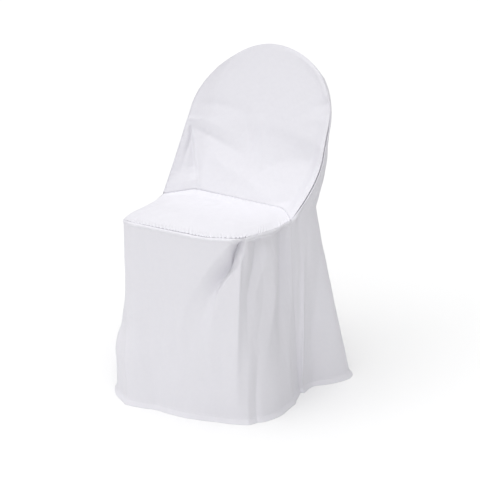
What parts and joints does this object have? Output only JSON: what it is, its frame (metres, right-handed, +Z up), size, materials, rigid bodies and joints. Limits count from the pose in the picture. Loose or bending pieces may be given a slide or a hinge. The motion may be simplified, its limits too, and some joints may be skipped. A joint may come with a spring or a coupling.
{
  "type": "fitted chair cover",
  "caption": "Fitted white cloth cover for a round-topped folding chair: a rounded back, a flat seat panel and a floor-length skirt in soft folds, hollow below.",
  "frame": {"origin": "the hanging point: inside the cover, just under the middle of its round top, where the chair's back holds it up", "axes": "+Z up, -Y the way the seat faces, +X to the right seen from the front"},
  "size_m": [0.5233, 0.5065, 0.8264],
  "materials": {
    "white_polyester": "matt plain weave"
  },
  "bodies": {
    "root": {"inside_back": "white_polyester", "seat": "white_polyester", "front_skirt": "white_polyester", "outside_back": "white_polyester"}
  },
  "joints": []
}
